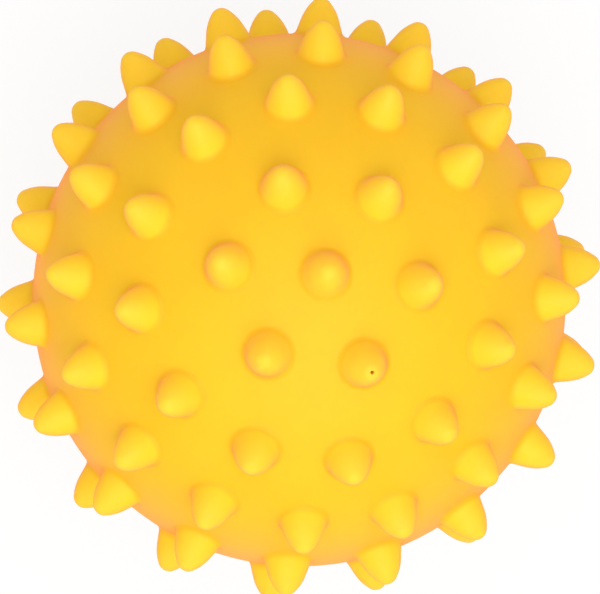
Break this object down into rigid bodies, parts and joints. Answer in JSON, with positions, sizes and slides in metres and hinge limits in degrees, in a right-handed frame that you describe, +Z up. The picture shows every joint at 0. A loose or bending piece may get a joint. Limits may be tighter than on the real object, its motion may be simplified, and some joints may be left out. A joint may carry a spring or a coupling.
{
  "type": "sensory ball",
  "caption": "Hollow soft vinyl ball covered in rings of rounded nubs, for squeezing, rolling and gripping, with a needle valve behind a pierced nub.",
  "frame": {"origin": "centre of the ball", "axes": "+Z up as the ball stands on three nubs, with the front pole of the nub pattern on top, leaning back towards +Y by 11.8 degrees; -Y is the lower edge of the picture and +X its right"},
  "size_m": [0.0985, 0.0997, 0.0981],
  "materials": {
    "skin_vinyl": "satin",
    "housing_vinyl": "matte",
    "core_rubber": "matte"
  },
  "bodies": {
    "root": {"skin": "skin_vinyl", "valve_housing": "housing_vinyl", "valve_core": "core_rubber"}
  },
  "joints": []
}
